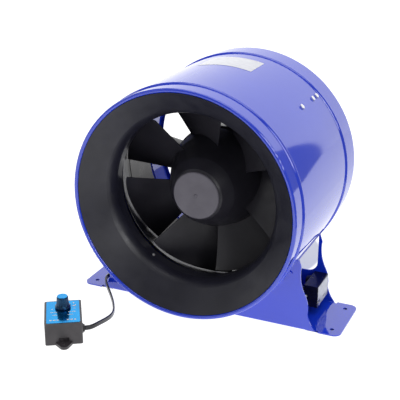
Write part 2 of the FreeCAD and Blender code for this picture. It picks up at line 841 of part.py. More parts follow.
def stand_saddle():
    """Curved plate that lies on the flanges and carries the casing, with two tabs folded down in front."""
    half_arc = 90 - size("saddle_end_angle")
    body = new_body("saddle_plate")
    sketch = new_sketch(body, "YZ_Plane")
    draw(sketch, rectangle("-rim_station - base_half_width - steel", "-rim_station + saddle_rear",
                           "-(duct_radius + saddle_steel - 0.02)", "-(duct_radius + 0.02)"))
    turned = body.newObject("PartDesign::Revolution", "saddle_bend")
    turned.Profile = sketch
    turned.ReferenceAxis = (sketch, ["H_Axis"])
    turned.Angle = 2 * half_arc
    turned.Midplane = True
    on_axis(body)
    station = -size("rim_station") - size("base_half_width") - 1.5
    tabs = [polar_block("saddle_tab", angle, size("duct_radius") + 0.5, size("duct_radius") + 6.8, 11.0,
                        station, 1.48) for angle in SADDLE_TAB_ANGLES]
    whole = fuse("saddle_whole", [body] + tabs)
    holes = [radial_rod("saddle_lead_hole", GROMMET_RADIUS, 150, 165, LEAD_ANGLE, LEAD_STATION)]
    holes += [radial_rod("saddle_screw_hole", 2.0, 150, 165, angle, station)
              for angle in SCREW_ANGLES for station in HOUSING_SCREW_STATIONS + VANE_SCREW_STATIONS
              if through_saddle(angle, station)]
    keep(cut("stand_saddle", whole, fuse("saddle_holes", holes)), "stand_saddle")


# ---- junction box ---------------------------------------------------------------------------------

# Cable entries in the box's left wall, as (y, z).
LEAD_ENTRY = (20.0, 24.0)
MAINS_ENTRY = (36.0, 35.0)
MOTOR_ENTRY = (4.0, 36.0)
LID_SCREW = (2.5, 18.5)
RIGHTWARD = Rotation(Vector(0, 1, 0), 90)


def across_rod(name, radius, x, length, entry):
    """A rod along +X at a cable entry's height."""
    return rod(name, radius, length, x, entry[0], entry[1], RIGHTWARD)


def junction_box():
    """Small box open to the right, screwed to the back flange, with three cable entries in its left wall."""
    rear = "base_half_width - steel"
    shell = block("box_shell", "box_left", "box_front", "box_low", "box_right - box_left",
                  rear + " - box_front", "box_high - box_low")
    hollow = block("box_hollow", "box_left + box_wall", "box_front + box_wall", "box_low + box_wall",
                   "box_right", rear + " - box_front - 2 * box_wall", "box_high - box_low - 2 * box_wall")
    boss = across_rod("box_boss", 3.4, "box_left + 1", "box_right - box_left - 1.1", LID_SCREW)
    holes = [across_rod("box_entry", radius, "box_left - 1", 4, entry)
             for radius, entry in ((5.0, LEAD_ENTRY), (5.0, MAINS_ENTRY), (3.05, MOTOR_ENTRY))]
    holes.append(across_rod("box_screw_pilot", 1.25, "box_right - 10", 12, LID_SCREW))
    holes.append(rod("box_plug_hole", 1.5, 4, 135, "box_front - 1", 28.5, FAN_AXIS_TURN))
    holes += [rod("box_fixing_hole", 1.5, 10, BOX_SCREW_X, "base_half_width - 8", height, FAN_AXIS_TURN)
              for height in BOX_SCREW_HEIGHTS]
    walls = fuse("box_walls", [cut("box_open", shell, hollow), boss])
    keep(cut("junction_box", walls, fuse("box_holes", holes)), "junction_box")
    group("box_screws", [screw("box_screw", 2.9, 1.9, 1.45, 7.0,
                               Vector(BOX_SCREW_X, size("base_half_width"), height), FAN_AXIS_TURN)
                         for height in BOX_SCREW_HEIGHTS])
    plug = fuse("box_plug_whole", [
        rod("box_plug_head", 2.2, 1.2, 135, "box_front - 1.2", 28.5, FAN_AXIS_TURN),
        rod("box_plug_stem", 1.45, 3, 135, "box_front", 28.5, FAN_AXIS_TURN)])
    keep(plug, "blanking_plug")
    bars = [block("terminal_bar", 139, "8 + %g" % step, 29.5, 9, 7.2, 10) for step in (0, 8, 16)]
    group("terminal_block", bars)


def box_lid():
    """Flat lid, its screw, and a metal plate with one corner left out for that screw."""
    rear = "base_half_width - steel"
    cover = block("box_cover", "box_right", "box_front", "box_low", "lid_thick", rear + " - box_front",
                  "box_high - box_low")
    rib = block("box_cover_rib", "box_right - 2", "box_front + box_wall + 0.3", "box_high - box_wall - 2.5",
                2, rear + " - box_front - 2 * box_wall - 0.6", 2.2)
    hole = across_rod("lid_hole", 1.6, "box_right - 2", 6, LID_SCREW)
    keep(cut("box_lid", fuse("box_lid_whole", [cover, rib]), hole), "box_lid")
    keep(screw("lid_screw", 2.6, 1.4, 1.2, 8.0,
               Vector(size("box_right + lid_thick"), *LID_SCREW), RIGHTWARD), "lid_screw")
    plate = new_body("box_plate_body")
    pad(plate, [("8", "14.5"), ("45", "14.5"), ("45", "44.5"), ("-2", "44.5"), ("-2", "23.5"), ("8", "23.5")],
        "plate_thick", "YZ_Plane", shift="box_right + lid_thick")
    slot = block("box_plate_slot", "box_right + lid_thick - 1", 21, 20, 3, 11, 1.8)
    keep(cut("box_plate", plate, slot), "box_plate")


def gland(label, entry, length, face_radius, bore):
    """Round cable gland with a tapered nose outside the wall and a nut inside it."""
    nose = doc.addObject("Part::Cone", label + "_nose")
    nose.Radius1 = face_radius
    nose.Radius2 = 6.6
    nose.Height = length - 3.5
    place(nose, "box_left - %g" % length, entry[0], entry[1], RIGHTWARD)
    collar = across_rod(label + "_collar", 7.4, "box_left - 3.5", 3.5, entry)
    thread = across_rod(label + "_thread", 4.95, "box_left - 1", 5.2, entry)
    nut = across_rod(label + "_nut", 7.0, "box_left + box_wall", 2.2, entry)
    pieces = [nose, collar, thread, nut]
    if bore:
        pieces = [cut(label, fuse(label + "_solid", pieces),
                      across_rod(label + "_bore", bore, "box_left - 20", 40, entry))]
        return keep(pieces[0], label)
    return keep(fuse(label, pieces), label)


# ---- cords and leads ------------------------------------------------------------------------------


def eased(points):
    """Straight runs through the points, joined by tangent arcs. Returns the wire and the arc radii."""
    edges, radii = [], []
    start = points[0]
    for before, corner, after in zip(points, points[1:], points[2:]):
        back, ahead = before - corner, after - corner
        half_turn = (math.pi - back.getAngle(ahead)) / 2
        reach = 0.45 * min(back.Length, ahead.Length)
        radii.append(reach / math.tan(half_turn))
        back.normalize()
        ahead.normalize()
        arc_start, arc_end = corner + back * reach, corner + ahead * reach
        inward = (back + ahead).normalize()
        middle = corner + inward * (radii[-1] / math.cos(half_turn) - radii[-1])
        edges.append(Part.LineSegment(start, arc_start).toShape())
        edges.append(Part.Arc(arc_start, middle, arc_end).toShape())
        start = arc_end
    edges.append(Part.LineSegment(start, points[-1]).toShape())
    return Part.Wire(edges), radii


def flat_section(start, direction):
    """The cord's section, 7 high and 3 thick with rounded edges, across the way the cord runs."""
    half_width, half_thick = size("cord_width") / 2, size("cord_thick") / 2
    up = Vector(0, 0, 1)
    side = direction.cross(up).normalize()

    def spot(rise, across):
        return start + side * across + up * rise

    flat = half_width - half_thick
    return Part.Wire([
        Part.LineSegment(spot(-flat, -half_thick), spot(flat, -half_thick)).toShape(),
        Part.Arc(spot(flat, -half_thick), spot(half_width, 0), spot(flat, half_thick)).toShape(),
        Part.LineSegment(spot(flat, half_thick), spot(-flat, half_thick)).toShape(),
        Part.Arc(spot(-flat, half_thick), spot(-half_width, 0), spot(-flat, -half_thick)).toShape()])


def flat_cord(label, route):
    """One piece of the controller's flat lead, swept so that it stands on its edge."""
    points = [Vector(*point) for point in route]
    wire, radii = eased(points)
    sweep = Part.BRepOffsetAPI.MakePipeShell(wire)
    sweep.setBiNormalMode(Vector(0, 0, 1))
    sweep.add(flat_section(points[0], points[1] - points[0]))
    sweep.build()
    sweep.makeSolid()
    piece = doc.addObject("Part::Feature", label)
    piece.Shape = sweep.shape()
    piece.Placement = Placement()
    flat = size("cord_width") - size("cord_thick")
    area = flat * size("cord_thick") + math.pi * size("cord_thick") ** 2 / 4
    report_cord(label, wire, radii, piece.Shape, area)
    return keep(piece, label)


def report_cord(label, wire, radii, solid, area):
    print("%s: length %.0f, smallest radius %.1f, volume %.0f against %.0f" % (
        label, wire.Length, min(radii), solid.Volume, area * wire.Length))


def controller_spot(x, y, z):
    """A point given in the controller's own directions."""
    turn = Rotation(Vector(0, 0, 1), size("controller_turn"))
    return turn.multVec(Vector(x, y, z)) + Vector(size("controller_x"), size("controller_y"), 0)


def coil_spot(reach, angle, height):
    """A point about the coil's middle."""
    flat = math.radians(angle)
    return (size("coil_x") + reach * math.cos(flat), reach * math.sin(flat), height)


def controller_lead():
    """Flat lead: from the controller over the floor to a coil on the stand, then to the junction box."""
    exit_face = size("case_width") / 2 + 3
    middle = size("coil_low") + 0.1 + size("cord_width") / 2
    flat_cord("controller_lead", [
        controller_spot(exit_face, size("cord_exit_y"), size("cord_exit_z")),
        controller_spot(exit_face + 5.0, size("cord_exit_y"), size("cord_exit_z")),
        (-106.6, -180.6, 14.0),
        (-104.9, -174.2, 13.7),
        (-104.0, -166.0, 12.8),
        (-103.5, -156.2, 11.1),
        (-103.7, -145.0, 8.9),
        (-104.9, -133.2, 6.8),
        (-107.9, -121.6, 5.0),
        (-112.6, -110.6, 4.0),
        (-118.8, -100.0, 3.7),
        (-126.0, -89.0, 3.8),
        (-134.2, -78.4, 4.6),
        (-142.8, -68.4, 6.4),
        (-150.4, -60.6, 9.0),
        (-156.8, -53.2, 12.0),
        (-162.0, -45.4, 13.8),
        (-164.4, -35.6, 13.6),
        (-164.0, -24.8, 12.4),
        (-160.8, -14.0, 11.0),
        (-155.2, -3.4, 9.6),
        (-147.6, 6.6, 8.2),
        (-137.8, 15.4, 7.0),
        (-126.4, 23.6, 6.2),
        coil_spot(size("coil_outer") - 1.6, 125.0, middle)])
    flat_cord("lead_tail", [
        coil_spot(size("coil_inner") + 1.6, 170.0, middle),
        coil_spot(size("coil_inner") - 0.1, 150.0, 7.4),
        coil_spot(size("coil_inner") - 2.1, 128.0, 10.0),
        coil_spot(size("coil_inner") - 2.1, 105.0, 12.8),
        (-85.6, 29.6, 14.4),
        (-73.2, 30.8, 14.8),
        (-60.4, 30.2, 13.8),
        (-46.8, 28.4, 10.6),
        (-31.6, 26.6, 7.6),
        (-13.4, 25.8, 6.3),
        (8.6, 26.0, 6.0),
        (33.0, 26.2, 6.3),
        (57.0, 25.0, 8.6),
        (78.0, 22.4, 13.8),
        (94.6, 20.5, 20.6),
        (109.0, LEAD_ENTRY[0], LEAD_ENTRY[1]),
        (size("box_left") - 10.0, LEAD_ENTRY[0], LEAD_ENTRY[1])])


def lead_coil():
    """The coiled length of the lead as one ring, and the tie that holds its turns together."""
    ring_body = new_body("lead_coil_body")
    sketch = new_sketch(ring_body, "XZ_Plane")
    draw(sketch, rectangle("coil_inner", "coil_outer", "0", "cord_width + 0.2"))
    turned = ring_body.newObject("PartDesign::Revolution", "lead_coil_turned")
    turned.Profile = sketch
    turned.ReferenceAxis = (sketch, ["V_Axis"])
    turned.Angle = 360.0
    place(ring_body, "coil_x", 0, "coil_low")
    keep(ring_body, "lead_coil")
    across = "coil_outer - coil_inner"
    outer = block("tie_outer", "coil_x - 1.8", "-coil_outer - 1", "coil_low - 0.25",
                  3.6, across + " + 2", "cord_width + 1.4")
    inner = block("tie_inner", "coil_x - 3", "-coil_outer - 0.2", "coil_low - 0.1", 6, across + " + 0.4",
                  "cord_width + 0.5")
    head = block("tie_head", "coil_x - 2.6", "-coil_inner - 6", "coil_low + cord_width + 0.4", 5.2, 4.4, 3.4)
    keep(fuse("coil_tie", [cut("tie_band", outer, inner), head]), "coil_tie")


def motor_lead():
    """Round lead from the junction box up through the saddle into the casing, with its grommet."""
    end = radial(LEAD_ANGLE, size("duct_radius") - 0.6, LEAD_STATION)
    start = Vector(size("box_left") + 1.5, *MOTOR_ENTRY)
    corner = Vector(end.x + (end.z - MOTOR_ENTRY[1]) / math.tan(math.radians(-LEAD_ANGLE)), *MOTOR_ENTRY)
    wire, radii = eased([start, corner, end])
    ring_edge = Part.makeCircle(size("motor_lead_radius"), start, Vector(-1, 0, 0))
    tube = wire.makePipeShell([Part.Wire(ring_edge)], True, True)
    lead = doc.addObject("Part::Feature", "motor_lead")
    lead.Shape = tube
    lead.Placement = Placement()
    report_cord("motor_lead", wire, radii, tube, math.pi * size("motor_lead_radius") ** 2)
    keep(lead, "motor_lead")
    inner = size("duct_radius - casing_wall")
    seat = size("duct_radius + saddle_steel")
    outside = fuse("lead_grommet_outside", [
        radial_rod("lead_grommet_neck", GROMMET_RADIUS - 0.05, inner, seat + 1, LEAD_ANGLE, LEAD_STATION),
        radial_rod("lead_grommet_flange", GROMMET_RADIUS + 1.6, seat + 0.06, seat + 2.8,
                   LEAD_ANGLE, LEAD_STATION)])
    bore = radial_rod("lead_grommet_bore", "motor_lead_radius + 0.05", 150, 170, LEAD_ANGLE, LEAD_STATION)
    keep(cut("motor_lead_grommet", outside, bore), "motor_lead_grommet")


# ---- controller -----------------------------------------------------------------------------------

POST_SPOTS = [(side_x * 19.5, side_y * 27.5) for side_x in (-1, 1) for side_y in (-1, 1)]


def on_controller(thing):
    """Put an object made in the controller's own directions where the controller lies."""
    turn = Rotation(Vector(0, 0, 1), size("controller_turn"))
    return place(thing, "controller_x", "controller_y", 0, turn)


def rounded(half_x, half_y, radius):
    """A rectangle about the origin with rounded corners."""
    outline = []
    for side_x, side_y in ((1, 1), (-1, 1), (-1, -1), (1, -1)):
        along_x = ("%d * (%s - %s)" % (side_x, half_x, radius), "%d * (%s)" % (side_y, half_y))
        along_y = ("%d * (%s)" % (side_x, half_x), "%d * (%s - %s)" % (side_y, half_y, radius))
        middle = ("%d * (%s - 0.2929 * %s)" % (side_x, half_x, radius),
                  "%d * (%s - 0.2929 * %s)" % (side_y, half_y, radius), "via")
        outline += [along_y, middle, along_x] if side_x == side_y else [along_x, middle, along_y]
    return outline


def controller_case():
    """Box with a screw ear at each end, a half-round relief above each ear, and four screw bosses."""
    outside = new_body("case_outside")
    pad(outside, rounded("case_width / 2", "case_depth / 2", "3"), "case_height")
    hollow = new_body("case_hollow")
    pad(hollow, rounded("case_width / 2 - case_wall", "case_depth / 2 - case_wall", "1.5"), "case_height",
        shift="case_wall")
    kept = [rod("relief_wall", 9.8, 12.5, 0, "%d * (ear_hole_y - 2)" % side) for side in (-1, 1)]
    kept += [rod("case_boss", 3.3, 17.8, x, y) for x, y in POST_SPOTS]
    ears = []
    for side in (-1, 1):
        ear = new_body("case_ear")
        pad(ear, [("-11", "%d * (case_depth / 2 - 1)" % side),
                  ("11", "%d * (case_depth / 2 - 1)" % side),
                  ("11", "%d * (case_depth / 2 + 1)" % side),
                  ("5", "%d * (case_depth / 2 + 11.6)" % side),
                  ("0", "%d * (case_depth / 2 + 14)" % side, "via"),
                  ("-5", "%d * (case_depth / 2 + 11.6)" % side),
                  ("-11", "%d * (case_depth / 2 + 1)" % side)], "ear_thick")
        ears.append(ear)
    holes = [rod("ear_relief", 8, 6.5, 0, "%d * (ear_hole_y - 2)" % side, "ear_thick") for side in (-1, 1)]
    holes += [rod("ear_hole", "ear_hole_radius", 12, 0, "%d * ear_hole_y" % side, -3) for side in (-1, 1)]
    holes += [rod("boss_bore", 1.6, 30, x, y, -1) for x, y in POST_SPOTS]
    holes += [rod("boss_recess", 3.0, 3, x, y, -1) for x, y in POST_SPOTS]
    holes.append(block("cord_opening", "case_width / 2 - 5", "cord_exit_y - 2.6", "cord_exit_z - 4.6",
                       10, 5.2, 9.2))
    open_box = cut("case_open", outside, cut("case_void", hollow, fuse("case_kept", kept)))
    solid = fuse("case_solid", [open_box] + ears)
    keep(on_controller(cut("controller_case", solid, fuse("case_holes", holes))), "controller_case")


def controller_lid():
    """Flat top with four posts, the label plate on it, and the screws that come up from below."""
    lid_top = "case_height + top_thick"
    cover = new_body("lid_cover")
    pad(cover, rounded("case_width / 2", "case_depth / 2", "3"), "top_thick", shift="case_height")
    posts = [rod("lid_post", 2.9, "case_height - 17.5", x, y, 18) for x, y in POST_SPOTS]
    holes = [rod("post_pilot", 1.25, 9, x, y, 17) for x, y in POST_SPOTS]
    holes.append(rod("lid_knob_hole", 3.6, 8, 0, "knob_y", "case_height - 2"))
    lid = cut("controller_lid", fuse("lid_solid", [cover] + posts), fuse("lid_holes", holes))
    keep(on_controller(lid), "controller_lid")
    label = new_body("label_sheet")
    pad(label, rounded("case_width / 2 - 2.8", "case_depth / 2 - 2", "2"), "0.4", shift=lid_top)
    hole = rod("label_hole", 6.4, 6, 0, "knob_y", lid_top + " - 2")
    keep(on_controller(cut("controller_label", label, hole)), "controller_label")
    below = Rotation(Vector(1, 0, 0), 180)
    screws = [screw("controller_screw", 2.6, 1.4, 1.2, 23.0, Vector(x, y, 2.0), below) for x, y in POST_SPOTS]
    on_controller(group("controller_screws", screws))


def controller_electronics():
    """Circuit board hanging from the potentiometer, which is clamped to the lid by its nut."""
    board = block("board_sheet", -21, -23, 17, 42, 46, 1.6)
    keep(on_controller(cut("controller_board", board, rod("board_hole", 3.2, 6, 0, "knob_y", 15))),
         "controller_board")
    parts = [block("board_chip", 4, -18, 18.6, 12, 16, 5), block("board_choke", -17, -19, 18.6, 14, 12, 8)]
    on_controller(group("board_parts", parts))
    neck = fuse("potentiometer_solid", [
        rod("potentiometer_can", 8.5, "case_height - 18.6", 0, "knob_y", 18.6),
        rod("potentiometer_neck", 3.5, 7, 0, "knob_y", "case_height - 1")])
    bore = rod("potentiometer_bore", "3 + running_gap", 20, 0, "knob_y", 22)
    keep(on_controller(cut("potentiometer", neck, bore)), "potentiometer")
    nut = doc.addObject("Part::Prism", "potentiometer_hexagon")
    nut.Polygon = 6
    nut.Circumradius = 5.6
    nut.Height = 2.0
    place(nut, 0, "knob_y", "case_height + top_thick")
    nut_bore = rod("potentiometer_nut_bore", 3.5, 6, 0, "knob_y", "case_height")
    keep(on_controller(cut("potentiometer_nut", nut, nut_bore)), "potentiometer_nut")


def speed_knob():
    """Knob with a pointed skirt and a faceted barrel, its cap disc, and the shaft it is pressed on."""
    base = size("case_height + top_thick") + 1.1
    skirt = doc.addObject("Part::Prism", "knob_skirt")
    skirt.Polygon = 6
    skirt.Circumradius = 11.25
    skirt.Height = 3.4
    place(skirt, 0, "knob_y", base)
    barrel = doc.addObject("Part::Prism", "knob_barrel")
    barrel.Polygon = 18
    barrel.Circumradius = 8.4
    barrel.Height = 48.8 - base
    place(barrel, 0, "knob_y", base)
    holes = fuse("knob_holes", [rod("knob_recess", 6.2, 4.6, 0, "knob_y", base - 0.5),
                                rod("knob_bore", 3, 12, 0, "knob_y", 34),
                                rod("knob_dish", 7.0, 2, 0, "knob_y", 48.0)])
    keep(on_controller(cut("speed_knob", fuse("knob_solid", [skirt, barrel]), holes)), "speed_knob")
    on_controller(group("knob_cap", [rod("knob_cap_disc", 6.95, 1.6, 0, "knob_y", 48.0)]))
    on_controller(group("potentiometer_shaft", [rod("knob_shaft_rod", 3, 21, 0, "knob_y", 24.6)]))


def lead_grommet():
    """Moulded strain relief round the flat lead where it leaves the controller."""
    wall = "case_width / 2"
    neck = block("relief_neck", wall + " - case_wall - 1.4", "cord_exit_y - 2.5", "cord_exit_z - 4.5",
                 "case_wall + 4.4", 5, 9)
    collar = block("relief_collar", wall, "cord_exit_y - 3.4", "cord_exit_z - 5.6", 1.2, 6.8, 11.2)
    keep(on_controller(fuse("lead_grommet", [neck, collar])), "lead_grommet")


casing()
casing_screws()
rating_label()
inlet_bell()
impeller_housing()
impeller()
hub_cap()
guide_vanes()
motor_shell()
bearing("front_bearing", "drum_front + 0.5")
bearing("rear_bearing", "can_end - 1.5")
rotating_parts()
stator()
driver()
tail_cone()
stand()
stand_saddle()
junction_box()
box_lid()
gland("lead_gland", LEAD_ENTRY, 10.0, 4.6, 0)
gland("mains_gland", MAINS_ENTRY, 9.0, 5.4, 3.2)
controller_lead()
lead_coil()
motor_lead()
controller_case()
controller_lid()
controller_electronics()
speed_knob()
lead_grommet()

doc.recompute()
for thing in doc.Objects:
    bad = [state for state in thing.State if state in ("Invalid", "Error")]
    if bad:
        raise RuntimeError("%s: %s" % (thing.Name, bad))
for node in NODES:
    if node.Shape.isNull() or not node.Shape.isValid():
        raise RuntimeError("%s has no valid shape" % node.Label)
os.makedirs("parts", exist_ok=True)
for node in NODES:
    node.Shape.exportStep("parts/%s.step" % node.Label)
print("%d pieces" % len(NODES))
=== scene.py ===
import json
import math

import bmesh
import bpy
from mathutils import Matrix, Quaternion, Vector


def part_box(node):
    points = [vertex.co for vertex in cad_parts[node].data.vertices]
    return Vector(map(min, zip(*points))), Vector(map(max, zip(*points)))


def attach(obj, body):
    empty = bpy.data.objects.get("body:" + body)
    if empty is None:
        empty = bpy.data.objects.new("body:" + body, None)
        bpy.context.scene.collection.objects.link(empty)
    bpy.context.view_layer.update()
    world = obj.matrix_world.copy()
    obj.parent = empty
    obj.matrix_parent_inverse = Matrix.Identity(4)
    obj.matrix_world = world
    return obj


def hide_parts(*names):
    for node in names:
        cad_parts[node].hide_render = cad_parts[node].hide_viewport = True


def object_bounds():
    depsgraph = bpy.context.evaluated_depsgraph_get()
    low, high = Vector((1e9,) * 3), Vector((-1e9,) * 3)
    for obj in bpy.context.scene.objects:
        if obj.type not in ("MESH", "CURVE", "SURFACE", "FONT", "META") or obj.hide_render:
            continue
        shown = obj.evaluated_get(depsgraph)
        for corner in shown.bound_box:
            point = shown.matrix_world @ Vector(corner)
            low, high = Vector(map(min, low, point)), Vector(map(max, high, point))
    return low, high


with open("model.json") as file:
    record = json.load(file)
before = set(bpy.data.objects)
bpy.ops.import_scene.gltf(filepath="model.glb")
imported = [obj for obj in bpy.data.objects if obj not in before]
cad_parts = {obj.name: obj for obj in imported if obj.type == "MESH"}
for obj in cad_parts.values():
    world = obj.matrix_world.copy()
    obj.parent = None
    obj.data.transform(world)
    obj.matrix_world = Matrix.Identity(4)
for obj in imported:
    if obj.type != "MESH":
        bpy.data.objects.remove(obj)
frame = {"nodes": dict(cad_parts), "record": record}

CAD_BOX = [list(corner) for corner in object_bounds()]
NODES = frame["nodes"]
MM = 0.001
FLOOR = CAD_BOX[0][2] - 0.0005


# ---- camera ---------------------------------------------------------------------------------------


def make_camera():
    data = bpy.data.cameras.new("camera")
    data.lens, data.sensor_width = 85.24, 36.0
    camera = bpy.data.objects.new("camera", data)
    camera.location = Vector((482.9, -1150.0, 637.9)) * MM
    aim = Vector((28.7, -130.0, 201.0)) * MM - camera.location
    camera.rotation_mode = "QUATERNION"
    camera.rotation_quaternion = aim.to_track_quat("-Z", "Y") @ Quaternion((0, 0, 1), math.radians(0.29))
    bpy.context.collection.objects.link(camera)
    bpy.context.scene.camera = camera


# ---- materials ------------------------------------------------------------------------------------


class Finish:
    """A procedural material: the shader's own sockets, and nodes that vary what shows detail."""

    def __init__(self, name, **sockets):
        self.material = bpy.data.materials.new(name)
        self.material.use_nodes = True
        self.tree = self.material.node_tree
        self.shader = self.tree.nodes["Principled BSDF"]
        self.place = self.tree.nodes.new("ShaderNodeTexCoord").outputs["Object"]
        for socket, value in sockets.items():
            self.shader.inputs[socket.replace("_", " ")].default_value = value

    def node(self, kind, links=(), **values):
        node = self.tree.nodes.new(kind)
        for name, value in values.items():
            if hasattr(node, name):
                setattr(node, name, value)
            else:
                node.inputs[name.replace("_", " ")].default_value = value
        for socket, source in dict(links).items():
            self.tree.links.new(source, node.inputs[socket])
        return node

    def noise(self, scale, detail=3.0, stretch=None):
        place = self.place
        if stretch:
            place = self.node("ShaderNodeMapping", {"Vector": place}, Scale=stretch).outputs[0]
        return self.node("ShaderNodeTexNoise", {"Vector": place}, Scale=scale, Detail=detail).outputs[0]

    def blend(self, factor, low, high):
        """A colour that goes from low to high with a factor."""
        ramp = self.node("ShaderNodeValToRGB", {"Fac": factor})
        for stop, place, colour in zip(ramp.color_ramp.elements, (0.3, 0.7), (low, high)):
            stop.position, stop.color = place, (*colour, 1)
        return ramp.outputs[0]

    def colour(self, low, high, scale, detail=3.0, stretch=None):
        self.tree.links.new(self.blend(self.noise(scale, detail, stretch), low, high),
                            self.shader.inputs["Base Color"])

    def rough(self, low, high, scale, detail=3.0, stretch=None):
        source = self.node("ShaderNodeMapRange", {"Value": self.noise(scale, detail, stretch)})
        source.inputs["From Min"].default_value, source.inputs["From Max"].default_value = 0.3, 0.7
        source.inputs["To Min"].default_value, source.inputs["To Max"].default_value = low, high
        self.tree.links.new(source.outputs[0], self.shader.inputs["Roughness"])

    def bump(self, scale, height, strength=1.0, detail=2.0, stretch=None):
        """Surface relief of a height in millimetres."""
        source = self.node("ShaderNodeBump", {"Height": self.noise(scale, detail, stretch)},
                           Strength=strength, Distance=height * MM)
        self.tree.links.new(source.outputs[0], self.shader.inputs["Normal"])


